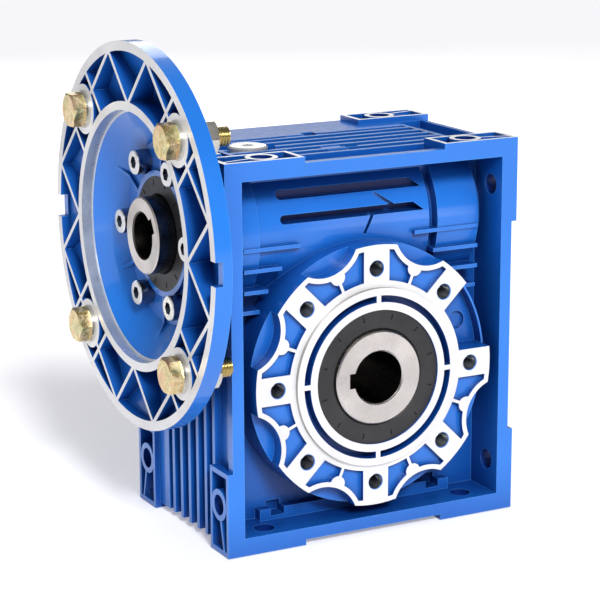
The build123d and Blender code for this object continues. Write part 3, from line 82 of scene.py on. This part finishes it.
# ------------------------------------------------------------------ materials
class Nodes:
    """Short way to build a material's node tree."""

    def __init__(self, name):
        self.material = bpy.data.materials.new(name)
        self.material.use_nodes = True
        self.tree = self.material.node_tree
        self.tree.nodes.clear()
        self.out = self.add("ShaderNodeOutputMaterial")
        self.shader = self.add("ShaderNodeBsdfPrincipled")
        self.link(self.shader.outputs[0], self.out.inputs["Surface"])
        self.coord = self.add("ShaderNodeTexCoord").outputs["Object"]

    def add(self, kind, **values):
        node = self.tree.nodes.new(kind)
        for key, value in values.items():
            setattr(node, key, value)
        return node

    def link(self, a, b):
        self.tree.links.new(a, b)

    def noise(self, scale, detail=4.0, rough=0.55, stretch=(1, 1, 1), distortion=0.0):
        mapping = self.add("ShaderNodeMapping")
        mapping.inputs["Scale"].default_value = stretch
        self.link(self.coord, mapping.inputs["Vector"])
        node = self.add("ShaderNodeTexNoise")
        node.inputs["Scale"].default_value = scale
        node.inputs["Detail"].default_value = detail
        node.inputs["Roughness"].default_value = rough
        node.inputs["Distortion"].default_value = distortion
        self.link(mapping.outputs[0], node.inputs["Vector"])
        return node.outputs["Fac"]

    def spread(self, value, low, high, start=0.3, end=0.7):
        node = self.add("ShaderNodeMapRange")
        limits = {"From Min": start, "From Max": end, "To Min": low, "To Max": high}
        for key, number in limits.items():
            node.inputs[key].default_value = number
        self.link(value, node.inputs["Value"])
        return node.outputs["Result"]

    def mix(self, fac, a, b):
        node = self.add("ShaderNodeMix", data_type="RGBA")
        for key, value in (("Factor", fac), ("A", a), ("B", b)):
            socket = node.inputs[key]
            if isinstance(value, bpy.types.NodeSocket):
                self.link(value, socket)
            elif isinstance(value, tuple):
                socket.default_value = (*value, 1.0)
            else:
                socket.default_value = value
        return node.outputs["Result"]

    def math(self, operation, a, b=None):
        node = self.add("ShaderNodeMath", operation=operation)
        for socket, value in zip(node.inputs, (a, b)):
            if isinstance(value, bpy.types.NodeSocket):
                self.link(value, socket)
            elif value is not None:
                socket.default_value = value
        return node.outputs[0]

    def edges(self, radius, low=0.06, high=0.24):
        """1 on edges, 0 on flat faces: how far a rounded normal leaves the true one."""
        rounded = self.add("ShaderNodeBevel", samples=4)
        rounded.inputs["Radius"].default_value = radius
        true_normal = self.add("ShaderNodeNewGeometry").outputs["Normal"]
        dot = self.add("ShaderNodeVectorMath", operation="DOT_PRODUCT")
        self.link(rounded.outputs[0], dot.inputs[0])
        self.link(true_normal, dot.inputs[1])
        gap = self.math("SUBTRACT", 1.0, dot.outputs["Value"])
        return self.spread(gap, 0.0, 1.0, low, high)

    def painted_corner_shade(self, distance):
        """Mask for painted shade from ambient occlusion: 1 in deep corners, 0 on open faces."""
        node = self.add("ShaderNodeAmbientOcclusion", samples=8, only_local=False)
        node.inputs["Distance"].default_value = distance
        return self.spread(node.outputs["AO"], 1.0, 0.0, 0.15, 0.85)

    def bump(self, heights):
        """heights: (value, strength, distance in metres)."""
        normal = None
        for value, strength, distance in heights:
            node = self.add("ShaderNodeBump")
            node.inputs["Strength"].default_value = strength
            node.inputs["Distance"].default_value = distance
            self.link(value, node.inputs["Height"])
            if normal is not None:
                self.link(normal, node.inputs["Normal"])
            normal = node.outputs[0]
        self.link(normal, self.shader.inputs["Normal"])

    def set(self, **values):
        for key, value in values.items():
            socket = self.shader.inputs[key.replace("_", " ")]
            if isinstance(value, bpy.types.NodeSocket):
                self.link(value, socket)
            elif isinstance(value, tuple):
                socket.default_value = (*value, 1.0)
            else:
                socket.default_value = value


def turning_rings(m, axis):
    """Fine rings round the Y axis at the origin, or round the worm's X axis."""
    parts = m.add("ShaderNodeSeparateXYZ")
    m.link(m.coord, parts.inputs[0])
    if axis == "y":
        a, b = parts.outputs["X"], parts.outputs["Z"]
    else:
        a = parts.outputs["Y"]
        b = m.math("SUBTRACT", parts.outputs["Z"], CENTRE_DISTANCE * MM)
    square = m.math("ADD", m.math("MULTIPLY", a, a), m.math("MULTIPLY", b, b))
    radius = m.math("SQRT", square)
    return m.math("SINE", m.math("MULTIPLY", radius, 2 * math.pi / RING_PITCH))


def paint_material(name, dark, light, gloss):
    m = Nodes(name)
    cloud = m.noise(14.0, 3.0)
    cast = m.noise(260.0, 4.0, 0.6)
    base = m.mix(m.spread(cloud, 0.0, 1.0), dark, light)
    # painted shade: the blue is darkened to near-black navy in deep corners, and the coat is thinned
    # there too
    shade_in_corners = m.painted_corner_shade(0.045)
    deep = m.mix(m.math("MULTIPLY", shade_in_corners, 0.92), base, (0.001, 0.020, 0.160))
    # lighter blue along the cast edges: partly worn paint, partly a painted highlight where the edges
    # catch the light
    wear = m.math("MULTIPLY", m.edges(CAST_EDGE), 0.50)
    lit_and_worn_edges = m.mix(wear, deep, (0.110, 0.400, 0.900))
    m.set(Base_Color=lit_and_worn_edges, Roughness=m.spread(cast, 0.30, 0.42))
    m.set(Coat_Weight=m.spread(shade_in_corners, gloss, 0.1 * gloss, 0.0, 1.0), Coat_Roughness=0.11)
    m.set(Specular_IOR_Level=0.28)
    m.bump([(cast, 0.10, 0.0002)])
    return m.material


def machined_material():
    m = Nodes("machined_aluminium")
    grain = m.noise(60.0, 6.0, 0.65, (1.0, 1.0, 14.0))
    fine = m.noise(700.0, 3.0)
    cloud = m.noise(26.0, 4.0)
    colour = m.mix(m.spread(cloud, 0.0, 1.0), (0.70, 0.69, 0.70), (0.86, 0.86, 0.87))
    m.set(Base_Color=colour, Metallic=0.30, Roughness=m.spread(grain, 0.36, 0.52))
    m.bump([(grain, 0.06, 0.0002), (fine, 0.05, 0.00008)])
    return m.material


def metal_material(name, dark, light, roughness, metallic=1.0, rings=None, wear=0.25):
    m = Nodes(name)
    cloud = m.noise(35.0, 4.0)
    fine = m.noise(900.0, 2.0, 0.5)
    colour = m.mix(m.spread(cloud, 0.0, 1.0), dark, light)
    if wear:
        bright = tuple(min(1.0, 1.35 * c + 0.05) for c in light)
        colour = m.mix(m.math("MULTIPLY", m.edges(METAL_EDGE), wear), colour, bright)
    rough = m.spread(m.noise(120.0, 5.0, 0.6), roughness - 0.06, roughness + 0.08)
    m.set(Base_Color=colour, Metallic=metallic, Roughness=rough)
    heights = [(fine, 0.05, 0.00006)]
    if rings:
        heights.append((turning_rings(m, rings), 0.16, 0.0001))
        m.set(Anisotropic=0.85)
        tangent = m.add("ShaderNodeTangent", direction_type="RADIAL", axis=rings.upper())
        m.link(tangent.outputs[0], m.shader.inputs["Tangent"])
    m.bump(heights)
    return m.material


def zinc_yellow_material():
    """Yellow chromate over zinc: small patches from straw to pink and green."""
    m = Nodes("yellow_zinc")
    patch = m.noise(240.0, 5.0, 0.65, distortion=0.8)
    tint = m.noise(170.0, 3.0)
    straw = m.mix(m.spread(patch, 0.0, 1.0, 0.38, 0.62), (0.56, 0.40, 0.14), (0.88, 0.76, 0.44))
    colour = m.mix(m.spread(tint, 0.0, 0.65, 0.50, 0.66), straw, (0.72, 0.42, 0.30))
    colour = m.mix(m.spread(tint, 0.55, 0.0, 0.34, 0.48), colour, (0.40, 0.44, 0.22))
    colour = m.mix(m.math("MULTIPLY", m.edges(METAL_EDGE), 0.5), colour, (0.98, 0.92, 0.72))
    m.set(Base_Color=colour, Metallic=0.85, Roughness=m.spread(patch, 0.18, 0.36))
    m.bump([(patch, 0.06, 0.0002)])
    return m.material


def rubber_material(name, dark, light, roughness):
    m = Nodes(name)
    cloud = m.noise(60.0, 4.0)
    fine = m.noise(500.0, 3.0)
    colour = m.mix(m.spread(cloud, 0.0, 1.0), dark, light)
    colour = m.mix(m.math("MULTIPLY", m.edges(METAL_EDGE), 0.3), colour, (0.10, 0.10, 0.105))
    m.set(Base_Color=colour, Roughness=m.spread(cloud, roughness - 0.05, roughness + 0.1))
    m.set(Specular_IOR_Level=0.35)
    m.bump([(fine, 0.12, 0.0001)])
    return m.material


PAINT = paint_material("blue_paint", (0.008, 0.155, 0.610), (0.013, 0.182, 0.690), 0.75)
# painted shade: near-black blue with a thin coat for the slot floors and foot-hole walls, where shade
# falls
PAINTED_SHADE_BLUE = paint_material(
    "shaded_paint", (0.001, 0.016, 0.110), (0.002, 0.024, 0.160), 0.1
)
MACHINED = machined_material()
TURNED_WALL = metal_material(
    "turned_aluminium", (0.36, 0.42, 0.52), (0.52, 0.58, 0.68), 0.30, metallic=0.6, wear=0.0
)
# painted shade: a darker grey metal than the machined faces, for the dark band along the centring
# ring's outer wall
RING_WALL_SHADE = metal_material("ring_wall_shade", (0.30, 0.29, 0.28), (0.44, 0.43, 0.42), 0.30)
# painted shade: dark grey metal for the walls and thread linings of the tapped holes, where shade
# falls inside them
TAPPED_SHADE = metal_material("tapped_thread_shade", (0.16, 0.17, 0.19), (0.36, 0.38, 0.40), 0.28)
TURNED = metal_material("turned_steel", (0.60, 0.56, 0.53), (0.70, 0.66, 0.63), 0.24, rings="y")
TURNED_X = metal_material("turned_steel_worm", (0.50, 0.46, 0.44), (0.68, 0.64, 0.61), 0.32, rings="x")
BLACK_STEEL = metal_material("oiled_steel", (0.050, 0.048, 0.050), (0.110, 0.105, 0.110), 0.28)
# painted shade: near-black steel for the bore walls of both shafts, for how dark the inside of the
# long bores looks
BORE_SHADE_STEEL = metal_material("bore_shade_steel", (0.030, 0.026, 0.024), (0.090, 0.080, 0.072), 0.30)
ZINC_YELLOW = zinc_yellow_material()
ZINC_PALE = metal_material("pale_zinc", (0.60, 0.58, 0.50), (0.76, 0.74, 0.68), 0.28)
BRASSY = metal_material("thread_zinc", (0.42, 0.30, 0.09), (0.68, 0.52, 0.22), 0.24)
SCREW = metal_material("bright_zinc", (0.68, 0.68, 0.68), (0.82, 0.82, 0.81), 0.26, metallic=0.7)
# painted reflection and shade: the sides of the screw heads are dark blue-grey, standing for the blue
# paint they mirror and the shade on them
SCREW_SIDE_REFLECTION = metal_material("screw_side_reflection", (0.16, 0.19, 0.25), (0.28, 0.32, 0.40), 0.28)
BEARING = metal_material("bearing_steel", (0.62, 0.63, 0.64), (0.75, 0.76, 0.77), 0.14)
SPRING = metal_material("spring_steel", (0.10, 0.10, 0.11), (0.16, 0.16, 0.17), 0.38)
BRASS = metal_material("brass", (0.55, 0.38, 0.14), (0.68, 0.50, 0.22), 0.28)
BRONZE = metal_material("bronze", (0.50, 0.31, 0.14), (0.62, 0.42, 0.20), 0.30)
COPPER = metal_material("copper", (0.60, 0.28, 0.16), (0.72, 0.38, 0.24), 0.32)
SEAL = rubber_material("seal_rubber", (0.018, 0.018, 0.020), (0.034, 0.033, 0.035), 0.42)
RUBBER = rubber_material("black_rubber", (0.006, 0.006, 0.006), (0.013, 0.013, 0.013), 0.38)

NODE_MATERIALS = {
    "housing": PAINT,
    "rear_cover": PAINT,
    "motor_flange": PAINT,
    "motor_bolts": ZINC_YELLOW,
    "motor_bolt_nuts": ZINC_PALE,
    "motor_bolt_washers": ZINC_PALE,
    "motor_flange_screws": SCREW,
    "rear_cover_screws": SCREW,
    "input_seal": SEAL,
    "output_seal_front": SEAL,
    "output_seal_rear": SEAL,
    "worm_end_cap": SEAL,
    "rear_cover_oring": RUBBER,
    "motor_flange_oring": RUBBER,
    "oil_filler_plug": SCREW,
    "oil_drain_plug": SCREW,
    "oil_plug_washers": COPPER,
    "tail_retaining_ring": SPRING,
    "output_shaft": TURNED,
    "worm_shaft": TURNED_X,
    "worm_wheel": BRONZE,
}
for name, node in nodes.items():
    material = NODE_MATERIALS.get(name) or (BRASS if "cage" in name else BEARING)
    node.data.materials.clear()
    node.data.materials.append(material)


# --------------------------------------------- faces with a finish of their own
def finish_faces(name, rules):
    """Further material slots of a CAD node, each for the faces that its test picks."""
    mesh = nodes[name].data
    for index, (material, test) in enumerate(rules, start=1):
        mesh.materials.append(material)
        for face in mesh.polygons:
            if test(face.center / MM, face.normal):
                face.material_index = index


def output_radius(c):
    return math.hypot(c.x, c.z)


def worm_radius(c):
    return math.hypot(c.y, c.z - CENTRE_DISTANCE)


def lies_at(value, place, room=NEAR):
    return abs(value - place) < room


def output_face_machined(c, n, side):
    """Face of the star and face of the centring ring."""
    y = side * c.y
    return side * n.y > 0.99 and (lies_at(y, STAR_FACE_Y) or y > RING_FACE_Y - NEAR)


def ring_wall(c, n, side):
    """Outer wall of the centring ring."""
    upright = abs(n.y) < 0.1 and output_radius(c) > RING_R - 0.5
    return upright and STAR_FACE_Y < side * c.y < RING_FACE_Y


def tapped_wall(c, n, side):
    """Wall of one of the eight tapped holes of an output face."""
    if side * c.y < TAPPED_FLOOR_Y - NEAR or abs(n.y) > 0.9:
        return False
    angle = round(math.atan2(c.z, c.x) / (math.pi / 4)) * (math.pi / 4)
    x, z = HOLE_CIRCLE_R * math.cos(angle), HOLE_CIRCLE_R * math.sin(angle)
    return math.hypot(c.x - x, c.z - z) < TAPPED_R + 0.05


def foot_hole_wall(c, n):
    y = abs(c.y) - FOOT_HOLE_Y
    if abs(c.x) > 76.0 and abs(n.x) < 0.2:
        z = min(abs(c.z - height) for height in FOOT_HOLE_Z)
        if math.hypot(y, z) < FOOT_HOLE_WALL_R:
            return True
    if abs(n.z) < 0.2 and not -76.0 < c.z < 109.0:
        return math.hypot(y, abs(c.x) - FOOT_HOLE_X) < FOOT_HOLE_WALL_R
    return False


def slot_floor(c, n):
    """Floors of the long slots of the worm tube."""
    inside = -48.0 < c.x < 39.0 and 80.0 < c.z < 100.0
    return inside and n.y < -0.9 and lies_at(c.y, SLOT_FLOOR_Y, 0.5)


# faces given the painted shade: foot-hole walls and slot floors
def shaded(c, n):
    return foot_hole_wall(c, n) or slot_floor(c, n)


def housing_machined(c, n):
    top_pad = n.z > 0.99 and c.z > TOP_PAD_Z - NEAR
    seat = n.x < -0.99 and lies_at(c.x, FLANGE_SEAT_X)
    return top_pad or seat or output_face_machined(c, n, -1)


def flange_machined(c, n):
    front = n.x < -0.99 and c.x < MOTOR_FACE_X + NEAR
    step = n.x < -0.99 and lies_at(c.x, PILOT_FLOOR_X, 0.2) and worm_radius(c) > 63.0
    spot = n.x > 0.99 and lies_at(c.x, NUT_FACE_X)
    return front or step or spot


def pilot_wall(c, n):
    return abs(n.x) < 0.1 and 64.0 < worm_radius(c) < 65.5 and c.x < -106.0


def screw_side(c, n):
    return abs(n.x) < 0.3


def hub_side(c, n):
    return abs(n.x) < 0.5 and c.x < -75.0 and worm_radius(c) > 19.0


def input_bore(c, n):
    return worm_radius(c) < 15.6 and -105.9 < c.x < -50.0


def output_bore(c, n):
    return output_radius(c) < 17.6 and abs(c.y) < 59.2 and abs(n.y) < 0.9


finish_faces(
    "housing",
    [
        (MACHINED, housing_machined),
        (TAPPED_SHADE, lambda c, n: tapped_wall(c, n, -1)),
        (RING_WALL_SHADE, lambda c, n: ring_wall(c, n, -1)),
        (PAINTED_SHADE_BLUE, shaded),
    ],
)
finish_faces(
    "rear_cover",
    [
        (MACHINED, lambda c, n: output_face_machined(c, n, 1)),
        (TAPPED_SHADE, lambda c, n: tapped_wall(c, n, 1)),
        (RING_WALL_SHADE, lambda c, n: ring_wall(c, n, 1)),
    ],
)
finish_faces("motor_flange_screws", [(SCREW_SIDE_REFLECTION, screw_side)])
finish_faces("motor_flange", [(MACHINED, flange_machined), (TURNED_WALL, pilot_wall)])
finish_faces("worm_shaft", [(BLACK_STEEL, hub_side), (BORE_SHADE_STEEL, input_bore)])
finish_faces("output_shaft", [(BORE_SHADE_STEEL, output_bore)])
for name in ("output_seal_front", "output_seal_rear"):
    finish_faces(name, [(RUBBER, lambda c, n: abs(n.y) < 0.95 and output_radius(c) < 30.0)])
finish_faces("input_seal", [(RUBBER, lambda c, n: abs(n.x) < 0.95 and worm_radius(c) < 24.0)])

# --------------------------------------------------------- rounded cast edges
def round_edges(piece, width, angle, harden):
    bevel = piece.modifiers.new("edges", "BEVEL")
    bevel.width = width
    bevel.segments = 2
    bevel.limit_method = "ANGLE"
    bevel.angle_limit = math.radians(angle)
    bevel.harden_normals = harden


for name, width in (("housing", 0.0007), ("rear_cover", 0.0007), ("motor_flange", 0.0005)):
    round_edges(nodes[name], width, 40, True)


# ------------------------------------------------------------- screw threads
AROUND = 40  # points round a thread
ROWS_PER_TURN = 6

# lining of a tapped hole, mm
LINING_PITCH = 1.25
LINING_DEPTH = 0.55
LINING_LENGTH = 13.6

# threaded shank of a motor bolt, mm
BOLT_R = 4.95
BOLT_PITCH = 1.5
BOLT_DEPTH = 0.75
BOLT_LENGTH = 30.0
BOLT_START_X = -115.6
BOLT_HEAD_X = -114.9  # what lies behind this plane is not the head
TIP_LENGTH = 0.6
TIP_TAPER = 0.25


def thread_rows(radius, depth, pitch, length, inside):
    """Rows of points of a threaded wall from z = 0 up, in mm."""
    count = int(length / pitch * ROWS_PER_TURN) + 1
    rows = []
    for i in range(count + 1):
        z = length * i / count
        fade = min(1.0, z / pitch, (length - z) / pitch)
        row = []
        for j in range(AROUND):
            phase = (z / pitch - j / AROUND) % 1.0
            ridge = 1.0 - abs(2.0 * phase - 1.0)
            r = radius - depth * (ridge * fade if inside else 1.0 - ridge)
            angle = 2 * math.pi * j / AROUND
            row.append((r * math.cos(angle), r * math.sin(angle), z))
        rows.append(row)
    return rows


def add_rows(b, rows, place, flip):
    """Skin rows of points; returns the first and the last loop."""
    loops = [[b.verts.new(place @ (Vector(p) * MM)) for p in row] for row in rows]
    for low, high in zip(loops, loops[1:]):
        for j in range(AROUND):
            k = (j + 1) % AROUND
            quad = [low[j], low[k], high[k], high[j]]
            b.faces.new(list(reversed(quad)) if flip else quad).smooth = True
    return loops[0], loops[-1]


def finish_piece(b, name, material):
    mesh = bpy.data.meshes.new(name)
    bmesh.ops.recalc_face_normals(b, faces=b.faces)
    b.to_mesh(mesh)
    b.free()
    piece = bpy.data.objects.new(name, mesh)
    bpy.context.scene.collection.objects.link(piece)
    mesh.materials.append(material)
    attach(piece, "casing")
    return piece


def frame_at(place, direction):
    """Matrix that carries local +Z to a direction, with its origin at a place in mm."""
    turn = Vector((0, 0, 1)).rotation_difference(Vector(direction)).to_matrix().to_4x4()
    return Matrix.Translation(Vector(place) * MM) @ turn


def threaded_hole_lining(b, place, direction):
    """Thread of one tapped hole: a thin sleeve with a helical inner wall."""
    at = frame_at(place, direction)
    wall = thread_rows(TAPPED_R - 0.05, LINING_DEPTH, LINING_PITCH, LINING_LENGTH, True)
    inner = add_rows(b, wall, at, True)
    r = TAPPED_R - 0.02
    angles = [2 * math.pi * j / AROUND for j in range(AROUND)]
    sleeve = [
        [(r * math.cos(angle), r * math.sin(angle), z) for angle in angles]
        for z in (0.0, LINING_LENGTH)
    ]
    outer = add_rows(b, sleeve, at, False)
    for a, c in zip(inner, outer):
        for j in range(AROUND):
            k = (j + 1) % AROUND
            b.faces.new([a[j], a[k], c[k], c[j]])


for side, label in ((-1, "front"), (1, "rear")):
    b = bmesh.new()
    for n in range(8):
        angle = n * math.pi / 4
        x, z = HOLE_CIRCLE_R * math.cos(angle), HOLE_CIRCLE_R * math.sin(angle)
        threaded_hole_lining(b, (x, side * (TAPPED_FLOOR_Y + NEAR), z), (0, side, 0))
    finish_piece(b, f"output_threads_{label}", TAPPED_SHADE)


def bolt_with_thread(b, y, z):
    """Threaded shank of one motor bolt, from under its head to its end."""
    at = frame_at((BOLT_START_X, y, z), (1, 0, 0))
    wall = thread_rows(BOLT_R, BOLT_DEPTH, BOLT_PITCH, BOLT_LENGTH, False)
    low, high = add_rows(b, wall, at, False)
    middle = at @ Vector((0, 0, BOLT_LENGTH * MM))
    forward = Vector((TIP_LENGTH * MM, 0, 0))
    tip = [b.verts.new(v.co + forward + TIP_TAPER * (middle - v.co)) for v in high]
    for j in range(AROUND):
        k = (j + 1) % AROUND
        b.faces.new([high[j], high[k], tip[k], tip[j]])
    b.faces.new(tip)
    b.faces.new(list(reversed(low)))


heads = bmesh.new()
heads.from_mesh(nodes["motor_bolts"].data)
shank_faces = [f for f in heads.faces if f.calc_center_median().x > BOLT_HEAD_X * MM]
bmesh.ops.delete(heads, geom=shank_faces, context="FACES")
bmesh.ops.holes_fill(heads, edges=[e for e in heads.edges if e.is_boundary], sides=0)
head_piece = finish_piece(heads, "motor_bolt_heads", ZINC_YELLOW)
round_edges(head_piece, 0.0003, 20, False)
threads = bmesh.new()
for n in range(4):
    angle = math.radians(45 + 90 * n)
    y = BOLT_CIRCLE_R * math.cos(angle)
    z = CENTRE_DISTANCE + BOLT_CIRCLE_R * math.sin(angle)
    bolt_with_thread(threads, y, z)
finish_piece(threads, "motor_bolt_threads", BRASSY)
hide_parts("motor_bolts")


# ----------------------------------------------------------- floor and lights
FLOOR_HALF = 6.0
FLOOR_GLOW = 0.34
SUN_PLACE = (-0.20, -1.00, 0.74)
SUN_STRENGTH = 2.7
SUN_ANGLE = math.radians(13)
AREA_LIGHTS = (
    # name, place, target, size, power
    ("key", (-0.55, -1.3, 0.75), (0, 0, 0.03), (0.4, 0.4), 4),
    ("side", (-1.5, -0.25, 0.35), (0, 0, 0.05), (0.5, 1.2), 2.2),
    ("right", (0.85, -1.5, -0.02), (0, 0, 0.02), (0.2, 0.5), 0.8),
    ("back", (0.5, 1.4, 0.9), (0, 0, 0.05), (0.9, 0.9), 7),
)
SOFT_LIGHT = 0.18
BACKDROP = (0.93, 0.93, 0.96, 1.0)


def stage_floor():
    mesh = bpy.data.meshes.new("floor")
    b = bmesh.new()
    bmesh.ops.create_grid(b, x_segments=2, y_segments=2, size=FLOOR_HALF)
    b.to_mesh(mesh)
    b.free()
    floor = bpy.data.objects.new("floor", mesh)
    bpy.context.scene.collection.objects.link(floor)
    floor.location = (0, 0, cad_box[0][2] - 0.0005)
    m = Nodes("floor_white")
    white = m.mix(m.noise(3.0), (0.88, 0.88, 0.90), (0.91, 0.91, 0.93))
    m.set(Base_Color=white, Roughness=0.9, Specular_IOR_Level=0.1)
    m.set(Emission_Color=(0.95, 0.95, 1.0), Emission_Strength=FLOOR_GLOW)
    mesh.materials.append(m.material)


def aim(light, place, target):
    light.location = place
    light.rotation_euler = (Vector(target) - Vector(place)).to_track_quat("-Z", "Y").to_euler()


def sun_light():
    data = bpy.data.lights.new("sun", "SUN")
    data.energy = SUN_STRENGTH
    data.angle = SUN_ANGLE
    light = bpy.data.objects.new("sun", data)
    bpy.context.scene.collection.objects.link(light)
    aim(light, SUN_PLACE, (0, 0, 0))


def area_light(name, place, target, size, power):
    data = bpy.data.lights.new(name, "AREA")
    data.shape = "RECTANGLE"
    data.size, data.size_y = size
    data.energy = power
    light = bpy.data.objects.new(name, data)
    bpy.context.scene.collection.objects.link(light)
    aim(light, place, target)


def studio_world():
    """Soft light from all round, with a pale backdrop where the camera sees it."""
    world = bpy.data.worlds.new("studio")
    bpy.context.scene.world = world
    world.use_nodes = True
    tree = world.node_tree
    soft_light = tree.nodes["Background"]
    soft_light.inputs["Color"].default_value = (1.0, 1.0, 1.0, 1.0)
    soft_light.inputs["Strength"].default_value = SOFT_LIGHT
    backdrop = tree.nodes.new("ShaderNodeBackground")
    backdrop.inputs["Color"].default_value = BACKDROP
    seen_directly = tree.nodes.new("ShaderNodeLightPath").outputs["Is Camera Ray"]
    either = tree.nodes.new("ShaderNodeMixShader")
    tree.links.new(seen_directly, either.inputs[0])
    tree.links.new(soft_light.outputs[0], either.inputs[1])
    tree.links.new(backdrop.outputs[0], either.inputs[2])
    tree.links.new(either.outputs[0], tree.nodes["World Output"].inputs["Surface"])


stage_floor()
sun_light()
for light in AREA_LIGHTS:
    area_light(*light)
studio_world()
bpy.context.scene.view_settings.view_transform = "Standard"

# --------------------------------------------------------------------- camera
CAMERA_PLACE = Vector((-0.540, -0.992, 0.303))
LOOK = Vector((0.455, 0.859, -0.236))
ROLL = math.radians(-0.2)
LENS = 129.1
camera_data = bpy.data.cameras.new("camera")
camera_data.sensor_width = 36.0
camera_data.lens = LENS
camera = bpy.data.objects.new("camera", camera_data)
bpy.context.scene.collection.objects.link(camera)
camera.location = CAMERA_PLACE
facing = LOOK.to_track_quat("-Z", "Y").to_matrix()
camera.rotation_euler = (facing @ Matrix.Rotation(ROLL, 3, "Z")).to_euler()
bpy.context.scene.camera = camera
